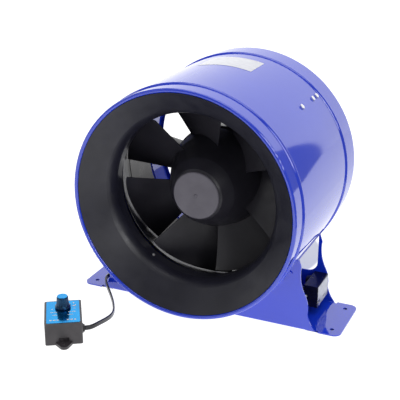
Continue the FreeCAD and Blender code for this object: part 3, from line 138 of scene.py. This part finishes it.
def make_finishes():
    """One material for each of the record's slots, and for the few pieces that need one of their own."""
    f = {}
    f["blue_paint"] = Finish("blue_enamel", Coat_Weight=1.0, Coat_Roughness=0.05, Coat_IOR=1.8,
                             Specular_IOR_Level=0.0)
    f["blue_paint"].colour((0.006, 0.036, 0.56), (0.011, 0.046, 0.62), 9)
    f["blue_paint"].rough(0.34, 0.46, 60)
    f["blue_paint"].bump(420, 0.012, 0.3)
    f["black_moulding"] = Finish("black_moulding", IOR=1.5)
    f["black_moulding"].colour((0.009, 0.009, 0.017), (0.015, 0.015, 0.026), 26)
    f["black_moulding"].rough(0.3, 0.44, 55)
    f["black_moulding"].bump(2600, 0.03, 0.3)
    # A lighter copy of the black moulding for the impeller: painted sheen, the blades drawn brighter as if
    # lit.
    f["impeller_painted_sheen"] = Finish("impeller_painted_sheen", IOR=1.5)
    f["impeller_painted_sheen"].colour((0.017, 0.016, 0.023), (0.027, 0.026, 0.035), 26)
    f["impeller_painted_sheen"].rough(0.3, 0.44, 55)
    f["impeller_painted_sheen"].bump(2600, 0.03, 0.3)
    # The black moulding for the guide vanes, made glossier for real sheen and lighter in base colour as
    # painted sheen for the ring's backlit inner wall.
    f["vane_painted_sheen"] = Finish("vane_painted_sheen", IOR=1.5)
    f["vane_painted_sheen"].colour((0.03, 0.027, 0.036), (0.042, 0.038, 0.05), 26)
    f["vane_painted_sheen"].rough(0.24, 0.36, 55)
    f["vane_painted_sheen"].bump(2600, 0.03, 0.3)
    f["cap_grey"] = Finish("cap_grey", IOR=1.5)
    f["cap_grey"].colour((0.096, 0.09, 0.113), (0.126, 0.118, 0.146), 40)
    f["cap_grey"].rough(0.42, 0.6, 90)
    f["cap_grey"].bump(2200, 0.03, 0.4)
    f["zinc_steel"] = Finish("zinc_steel", Metallic=0.7)
    f["zinc_steel"].colour((0.72, 0.73, 0.74), (0.88, 0.88, 0.89), 500)
    f["zinc_steel"].rough(0.18, 0.38, 700)
    f["zinc_steel"].bump(1500, 0.01, 0.3)
    f["label_foil"] = Finish("label_foil", Metallic=0.35, Coat_Weight=0.4, Coat_Roughness=0.15)
    f["label_foil"].colour((0.52, 0.53, 0.59), (0.64, 0.65, 0.71), 60, 4, (1, 12, 1))
    f["label_foil"].rough(0.28, 0.45, 160)
    f["label_foil"].bump(120, 0.03, 0.3)
    f["plate_grey"] = Finish("plate_grey", Metallic=0.5)
    f["plate_grey"].colour((0.36, 0.38, 0.44), (0.47, 0.49, 0.56), 140, 4, (12, 1, 1))
    f["plate_grey"].rough(0.3, 0.46, 160)
    f["plate_grey"].bump(240, 0.03, 0.3)
    f["shaft_steel"] = Finish("shaft_steel", Metallic=1.0)
    f["shaft_steel"].colour((0.5, 0.5, 0.51), (0.66, 0.66, 0.67), 300, 2, (1, 20, 1))
    f["shaft_steel"].rough(0.2, 0.32, 800)
    f["shaft_steel"].bump(900, 0.004, 0.3, 2, (1, 20, 1))
    f["bearing_steel"] = Finish("bearing_steel", Metallic=1.0)
    f["bearing_steel"].colour((0.6, 0.6, 0.61), (0.75, 0.75, 0.76), 500)
    f["bearing_steel"].rough(0.12, 0.22, 700)
    f["bearing_steel"].bump(1200, 0.004, 0.3)
    f["core_steel"] = Finish("core_steel", Metallic=0.8)
    f["core_steel"].colour((0.14, 0.14, 0.15), (0.24, 0.24, 0.25), 400, 3, (1, 8, 1))
    f["core_steel"].rough(0.35, 0.55, 500)
    f["core_steel"].bump(900, 0.02, 0.5, 2, (0.2, 2.2, 0.2))
    f["magnet_steel"] = Finish("magnet_steel", Metallic=0.5)
    f["magnet_steel"].colour((0.16, 0.16, 0.17), (0.25, 0.25, 0.26), 300)
    f["magnet_steel"].rough(0.4, 0.6, 400)
    f["magnet_steel"].bump(1500, 0.01, 0.4)
    f["enamelled_wire"] = Finish("enamelled_wire", Metallic=0.85)
    f["enamelled_wire"].colour((0.45, 0.17, 0.06), (0.72, 0.33, 0.13), 900, 2)
    f["enamelled_wire"].rough(0.2, 0.35, 900)
    f["enamelled_wire"].bump(1300, 0.15, 0.8)
    f["motor_alloy"] = Finish("motor_alloy", Metallic=1.0)
    f["motor_alloy"].colour((0.5, 0.5, 0.51), (0.68, 0.68, 0.69), 200)
    f["motor_alloy"].rough(0.3, 0.45, 350)
    f["motor_alloy"].bump(1100, 0.02, 0.4)
    f["circuit_board"] = Finish("circuit_board", Coat_Weight=0.6, Coat_Roughness=0.15)
    f["circuit_board"].colour((0.01, 0.12, 0.045), (0.02, 0.2, 0.08), 350, 1)
    f["circuit_board"].rough(0.3, 0.45, 400)
    f["circuit_board"].bump(500, 0.03, 0.4)
    f["electronic_parts"] = Finish("electronic_parts")
    f["electronic_parts"].colour((0.02, 0.02, 0.022), (0.05, 0.05, 0.055), 200)
    f["electronic_parts"].rough(0.4, 0.6, 300)
    f["electronic_parts"].bump(1800, 0.02, 0.3)
    f["brass_spacer"] = Finish("brass_spacer", Metallic=1.0)
    f["brass_spacer"].colour((0.6, 0.42, 0.16), (0.75, 0.56, 0.25), 300)
    f["brass_spacer"].rough(0.25, 0.35, 400)
    f["brass_spacer"].bump(900, 0.01, 0.3)
    f["black_controller"] = Finish("black_controller", IOR=1.5)
    f["black_controller"].colour((0.03, 0.027, 0.031), (0.046, 0.041, 0.046), 70)
    f["black_controller"].rough(0.3, 0.44, 120)
    f["black_controller"].bump(1500, 0.03, 0.35)
    f["controller_blue"] = Finish("controller_blue", Metallic=0.95)
    f["controller_blue"].colour((0.0, 0.25, 0.6), (0.002, 0.3, 0.68), 55)
    f["controller_blue"].rough(0.1, 0.2, 90)
    f["controller_blue"].bump(300, 0.01, 0.3)
    f["knob_black"] = Finish("knob_black", IOR=1.9, Specular_Tint=(0.1, 0.42, 0.9, 1.0))
    f["knob_black"].colour((0.008, 0.012, 0.024), (0.014, 0.02, 0.036), 150)
    f["knob_black"].rough(0.2, 0.32, 200)
    f["knob_black"].bump(1500, 0.02, 0.3)
    f["box_black"] = Finish("box_black", IOR=1.5)
    f["box_black"].colour((0.003, 0.003, 0.008), (0.007, 0.007, 0.014), 60)
    f["box_black"].rough(0.16, 0.28, 90)
    f["box_black"].bump(1500, 0.02, 0.3)
    f["cord_black"] = Finish("cord_black", IOR=1.5)
    f["cord_black"].colour((0.004, 0.004, 0.007), (0.009, 0.009, 0.013), 120)
    f["cord_black"].rough(0.12, 0.22, 200)
    f["cord_black"].bump(700, 0.02, 0.3)
    f["gland_black"] = Finish("gland_black", IOR=1.5)
    f["gland_black"].colour((0.015, 0.015, 0.016), (0.03, 0.03, 0.032), 200)
    f["gland_black"].rough(0.35, 0.5, 300)
    f["gland_black"].bump(1500, 0.02, 0.3)
    f["plug_white"] = Finish("plug_white", Subsurface_Weight=0.15)
    f["plug_white"].colour((0.78, 0.79, 0.78), (0.9, 0.9, 0.89), 300)
    f["plug_white"].rough(0.3, 0.42, 300)
    f["plug_white"].bump(900, 0.01, 0.3)
    f["terminal_nylon"] = Finish("terminal_nylon", Subsurface_Weight=0.15)
    f["terminal_nylon"].colour((0.7, 0.7, 0.66), (0.82, 0.82, 0.78), 300)
    f["terminal_nylon"].rough(0.35, 0.5, 300)
    f["terminal_nylon"].bump(900, 0.02, 0.3)
    return f


# The impeller and guide vanes take lighter copies of the black moulding: painted sheen.
OWN_FINISH = {"junction_box": "box_black", "box_lid": "box_black", "box_plate": "plate_grey",
              "impeller": "impeller_painted_sheen", "guide_vanes": "vane_painted_sheen"}


def dress_nodes(finishes):
    """Give each carried-over piece its own finish, or its slot's material."""
    for part in frame["record"]["subparts"]:
        mesh = NODES[part["node"]].data
        mesh.materials.clear()
        finish = OWN_FINISH.get(part["node"], part["material_slot"])
        mesh.materials.append(finishes[finish].material)


def add_piece(name, mesh, body, finish, replaces=()):
    piece = bpy.data.objects.new(name, mesh)
    bpy.context.collection.objects.link(piece)
    mesh.materials.append(finish.material)
    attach(piece, body)
    if replaces:
        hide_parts(*replaces)
    return piece


def finished_mesh(name, build):
    """A mesh made by a function that fills a bmesh."""
    shape = bmesh.new()
    build(shape)
    bmesh.ops.recalc_face_normals(shape, faces=shape.faces)
    mesh = bpy.data.meshes.new(name)
    shape.to_mesh(mesh)
    shape.free()
    return mesh


# ---- the controller's knob and label marks --------------------------------------------------------

CONTROLLER = Vector((-146.1, -189.5, 0.0))
CONTROLLER_TURN = Matrix.Rotation(math.radians(32.4), 3, "Z")
KNOB_Y, KNOB_BASE, KNOB_TOP = 12.0, 32.6, 48.8
KNOB_FLUTES, KNOB_STEPS = 18, 108
LABEL_TOP, MARK_RISE, MARK_SINK = 31.9, 0.12, 0.05
MARK_ROWS = ((-1.0, 1.2, ((-17, -13), (-12, -8), (7, 11), (12, 17))),
             (-9.0, 1.2, ((-14, -8), (6, 13))),
             (-23.0, 2.6, ((-18, -15), (-13.5, -10), (-8.5, -6), (5, 8), (9.5, 13), (14.5, 17))),
             (8.25, 1.5, ((-15.5, -13.5), (14.5, 16.5))))
WEDGE = ((11.5, 14.5), (17.5, 14.5), (17.5, 19.0))
DOT_X, DOT_Y, DOT_RADIUS, DOT_SIDES = 14.5, 24.0, 1.3, 12


def controller_spot(x, y, z):
    """A point given in the controller's own directions, in millimetres."""
    return CONTROLLER_TURN @ Vector((x, y, z)) + CONTROLLER


def knob_ring(shape, reach, height, flutes=0.0):
    """A ring of points about the knob's axis, drawn in a little at each flute."""
    ring = []
    for step in range(KNOB_STEPS):
        angle = 2 * math.pi * step / KNOB_STEPS
        here = reach - flutes * (0.5 + 0.5 * math.cos(KNOB_FLUTES * angle)) ** 2
        ring.append(shape.verts.new(controller_spot(
            here * math.cos(angle), KNOB_Y + here * math.sin(angle), height) * MM))
    return ring


def build_knob(shape):
    """Skirt, tapering fluted barrel and the shallow seat that the cap disc lies in."""
    rings = [knob_ring(shape, *ring) for ring in (
        (3.0, KNOB_BASE), (10.2, KNOB_BASE), (10.7, KNOB_BASE + 0.6), (10.5, KNOB_BASE + 2.6),
        (9.9, KNOB_BASE + 3.4), (8.9, KNOB_BASE + 3.7), (8.6, KNOB_BASE + 4.6, 0.5),
        (7.9, KNOB_TOP - 1.2, 0.5), (7.6, KNOB_TOP - 0.3), (7.2, KNOB_TOP), (7.0, KNOB_TOP - 0.1),
        (7.0, KNOB_TOP - 0.8), (3.0, KNOB_TOP - 0.8))]
    for ring, after in zip(rings, rings[1:] + rings[:1]):
        for index in range(len(ring)):
            following = (index + 1) % len(ring)
            shape.faces.new((ring[index], ring[following], after[following], after[index])).smooth = True


def raised_mark(shape, outline):
    """One printed mark: an outline on the label, as a thin film."""
    low, high = ([shape.verts.new(controller_spot(x, y, height) * MM) for x, y in outline]
                 for height in (LABEL_TOP - MARK_SINK, LABEL_TOP + MARK_RISE))
    shape.faces.new(high)
    shape.faces.new(low[::-1])
    for index in range(len(outline)):
        following = (index + 1) % len(outline)
        shape.faces.new((low[index], low[following], high[following], high[index]))


def build_marks(shape):
    """Plain dashes in rows, two of them beside the knob, and a wedge and a dot."""
    for middle, tall, spans in MARK_ROWS:
        low, high = middle - tall / 2, middle + tall / 2
        for left, right in spans:
            raised_mark(shape, [(left, low), (right, low), (right, high), (left, high)])
    raised_mark(shape, WEDGE)
    turns = [2 * math.pi * side / DOT_SIDES for side in range(DOT_SIDES)]
    raised_mark(shape, [(DOT_X + DOT_RADIUS * math.cos(turn), DOT_Y + DOT_RADIUS * math.sin(turn))
                        for turn in turns])


def make_controller_details(finishes):
    add_piece("fluted_knob", finished_mesh("fluted_knob", build_knob), "knob",
              finishes["knob_black"], ("speed_knob",))
    add_piece("label_marks", finished_mesh("label_marks", build_marks), "fan",
              finishes["plug_white"])


# ---- the controller's flat lead -------------------------------------------------------------------

CORD_WIDTH, CORD_THICK = 7.0, 3.0
COIL_MIDDLE = Vector((-90.0, 0.0, 0.0))
COIL_INNER, COIL_OUTER, COIL_HEIGHT = 31.2, 41.2, 5.9
COIL_IN, COIL_SWEEP = 125.0, 1035.0


def coil_spot(reach, angle, height):
    turn = math.radians(angle)
    return COIL_MIDDLE + Vector((reach * math.cos(turn), reach * math.sin(turn), height))


def coil_points():
    """Nearly three turns inside each other, sixteen points to a turn, wound from the outside in."""
    count = 46
    return [coil_spot(COIL_OUTER + 0.75 - (COIL_OUTER - COIL_INNER) * step / count,
                      COIL_IN - COIL_SWEEP * step / count, COIL_HEIGHT) for step in range(count + 1)]


def cord_route():
    lead = [controller_spot(28.0, -16.0, 14.0),
            controller_spot(33.0, -16.0, 14.0),
            (-106.6, -180.6, 14.0),
            (-104.9, -174.2, 13.7),
            (-104.0, -166.0, 12.8),
            (-103.5, -156.2, 11.1),
            (-103.7, -145.0, 8.9),
            (-104.9, -133.2, 6.8),
            (-107.9, -121.6, 5.0),
            (-112.6, -110.6, 4.0),
            (-118.8, -100.0, 3.7),
            (-126.0, -89.0, 3.8),
            (-134.2, -78.4, 4.6),
            (-142.8, -68.4, 6.4),
            (-150.4, -60.6, 9.0),
            (-156.8, -53.2, 12.0),
            (-162.0, -45.4, 13.8),
            (-164.4, -35.6, 13.6),
            (-164.0, -24.8, 12.4),
            (-160.8, -14.0, 11.0),
            (-155.2, -3.4, 9.6),
            (-147.6, 6.6, 8.2),
            (-137.8, 15.4, 7.0),
            (-126.4, 23.6, 6.2)]
    tail = [coil_spot(29.5, 150.0, 7.4),
            coil_spot(27.5, 128.0, 10.0),
            coil_spot(27.5, 105.0, 12.8),
            (-85.6, 29.6, 14.4),
            (-73.2, 30.8, 14.8),
            (-60.4, 30.2, 13.8),
            (-46.8, 28.4, 10.6),
            (-31.6, 26.6, 7.6),
            (-13.4, 25.8, 6.3),
            (8.6, 26.0, 6.0),
            (33.0, 26.2, 6.3),
            (57.0, 25.0, 8.6),
            (78.0, 22.4, 13.8),
            (94.6, 20.5, 20.6),
            (109.0, 20.0, 24.0),
            (122.5, 20.0, 24.0)]
    return [Vector(point) * MM for point in lead + coil_points() + tail]


def smooth_line(name, points):
    """Points read from a NURBS spline that has the route's points as its control points."""
    data = bpy.data.curves.new(name, "CURVE")
    data.dimensions = "3D"
    data.resolution_u = 8
    spline = data.splines.new("NURBS")
    spline.points.add(len(points) - 1)
    for control, point in zip(spline.points, points):
        control.co = (*point, 1.0)
    spline.order_u = 3
    spline.use_endpoint_u = True
    carrier = bpy.data.objects.new(name, data)
    bpy.context.collection.objects.link(carrier)
    bpy.context.view_layer.update()
    line = bpy.data.meshes.new_from_object(carrier)
    path = [vertex.co.copy() for vertex in line.vertices]
    bpy.data.objects.remove(carrier)
    return path


def cord_section():
    """A flat sheath over its cores, as (across, up) in metres: high, thin, with two shallow grooves."""
    half_width, half_thick = CORD_WIDTH / 2, CORD_THICK / 2
    steps = 14
    right = []
    for step in range(steps + 1):
        share = -math.cos(math.pi * step / steps)
        bulge = half_thick * (1 - share ** 6) ** 0.5 * (0.92 + 0.08 * math.cos(3 * math.pi * share))
        right.append((bulge * MM, half_width * share * MM))
    return right + [(-bulge, rise) for bulge, rise in reversed(right[1:-1])]


def sweep_flat(shape, path, section):
    """Carry the section along the path, standing on its edge."""
    rings = []
    for index, point in enumerate(path):
        along = (path[min(index + 1, len(path) - 1)] - path[max(index - 1, 0)]).normalized()
        side = along.cross(Vector((0, 0, 1))).normalized()
        up = side.cross(along)
        rings.append([shape.verts.new(point + side * across + up * rise) for across, rise in section])
    for ring, after in zip(rings, rings[1:]):
        for index in range(len(section)):
            following = (index + 1) % len(section)
            shape.faces.new((ring[index], ring[following], after[following], after[index])).smooth = True
    shape.faces.new(rings[0])
    shape.faces.new(rings[-1][::-1])


def make_cord(finishes):
    path = smooth_line("cord_line", cord_route())
    mesh = finished_mesh("controller_cord", lambda shape: sweep_flat(shape, path, cord_section()))
    cord = add_piece("controller_cord", mesh, "fan", finishes["cord_black"],
                     ("controller_lead", "lead_coil", "lead_tail"))


# ---- stage ----------------------------------------------------------------------------------------


def soft_light(name, spot, aim, size, radiance):
    """A rectangular soft box, as bright as a surface of the stated radiance."""
    data = bpy.data.lights.new(name, "AREA")
    data.shape, data.size, data.size_y = "RECTANGLE", size[0], size[1]
    data.energy = radiance * math.pi * size[0] * size[1]
    lamp = bpy.data.objects.new(name, data)
    lamp.location = spot
    lamp.rotation_mode = "QUATERNION"
    lamp.rotation_quaternion = (Vector(aim) - Vector(spot)).to_track_quat("-Z", "Y")
    bpy.context.collection.objects.link(lamp)


def stage_sheet(name, corners, finish):
    """One flat sheet of the white sweep, in metres."""
    def build(shape):
        shape.faces.new([shape.verts.new(corner) for corner in corners])
    sheet = bpy.data.objects.new(name, finished_mesh(name, build))
    bpy.context.collection.objects.link(sheet)
    sheet.data.materials.append(finish.material)


def shade_floor(paper):
    """A faint painted shadow: the floor's glow turns a soft lilac grey in a round close behind the stand,
    where the fan would cast its shadow.
    """
    spot = paper.node("ShaderNodeMapping", {"Vector": paper.place}, vector_type="TEXTURE",
                      Location=(0.0093, 0.1831, FLOOR), Rotation=(0, 0, math.radians(16.2)),
                      Scale=(0.09, 0.11, 1))
    reach = paper.node("ShaderNodeVectorMath", {0: spot.outputs[0]}, operation="LENGTH")
    share = paper.node("ShaderNodeMapRange", {"Value": reach.outputs["Value"]})
    share.inputs["From Min"].default_value, share.inputs["From Max"].default_value = 0.9, 1.06
    # Painted shadow: lilac-grey glow inside the round, full white glow outside it.
    paper.tree.links.new(paper.blend(share.outputs[0], (0.3, 0.32, 0.43), (1, 1, 1)),
                         paper.shader.inputs["Emission Color"])


def paint_foot_shade(finish):
    """Painted shade under each foot plate: dark sheets just above the floor, seen only through the foot
    holes.
    """
    inset, rise, corner, inner = 0.002, 0.0002, 0.009, 0.15
    reach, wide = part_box("stand")[1].x - inset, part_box("stand")[1].y - inset
    for side in (-1, 1):
        stage_sheet("painted_shade_under_foot", [(side * x, y, FLOOR + rise) for x, y in (
            (inner, -wide), (reach - corner, -wide), (reach, corner - wide),
            (reach, wide - corner), (reach - corner, wide), (inner, wide))], finish)


def make_room():
    """An even dim light from all round."""
    scene = bpy.context.scene
    scene.view_settings.view_transform = "Standard"
    world = bpy.data.worlds.new("studio")
    scene.world = world
    world.use_nodes = True
    background = world.node_tree.nodes["Background"]
    background.inputs["Color"].default_value = (1.0, 1.0, 1.0, 1.0)
    background.inputs["Strength"].default_value = 0.3


def make_stage():
    """White floor and backdrop that glow a little, a dim room on the right, and three soft boxes."""
    make_room()
    paper = Finish("paper_white", Roughness=0.9, Emission_Color=(1, 1, 1, 1), Emission_Strength=1.05)
    paper.colour((0.29, 0.29, 0.29), (0.31, 0.31, 0.31), 2)
    # Paints a soft shadow into the floor's glow.
    shade_floor(paper)
    # Dark paper that does not glow: painted shade under the feet.
    shade_under_feet = Finish("painted_foot_shade", Roughness=0.9)
    shade_under_feet.colour((0.1, 0.1, 0.11), (0.12, 0.12, 0.13), 40)
    wall = Finish("backdrop_white", Roughness=0.9, Emission_Color=(1, 1, 1, 1), Emission_Strength=1.25)
    wall.colour((0.19, 0.19, 0.19), (0.21, 0.21, 0.21), 2)
    left, near, right, far, top = -5.0, -1.4, 1.76, 3.6, 3.4
    paint_foot_shade(shade_under_feet)
    stage_sheet("floor", [(left, near, FLOOR), (0.62, near, FLOOR), (0.5, 0.2, FLOOR), (0.95, 1.6, FLOOR),
                          (right, far, FLOOR), (left, far, FLOOR)], paper)
    stage_sheet("backdrop", [(left, far, FLOOR), (right, far, FLOOR), (right, far, top), (left, far, top)],
                wall)
    stage_sheet("backdrop_left", [(left, near, FLOOR), (left, far, FLOOR), (left, far, top),
                                  (left, near, top)], wall)
    middle = (0, 0, 0.2)
    soft_light("top", (0.1, 0.3, 2.6), middle, (2.6, 2.2), 1.75)
    soft_light("front_right", (2.2, -1.2, 1.5), middle, (1.1, 1.6), 4.6)
    soft_light("front_left", (-1.9, -1.7, 1.6), middle, (1.0, 1.6), 0.7)


make_camera()
finishes = make_finishes()
make_controller_details(finishes)
make_cord(finishes)
dress_nodes(finishes)
make_stage()
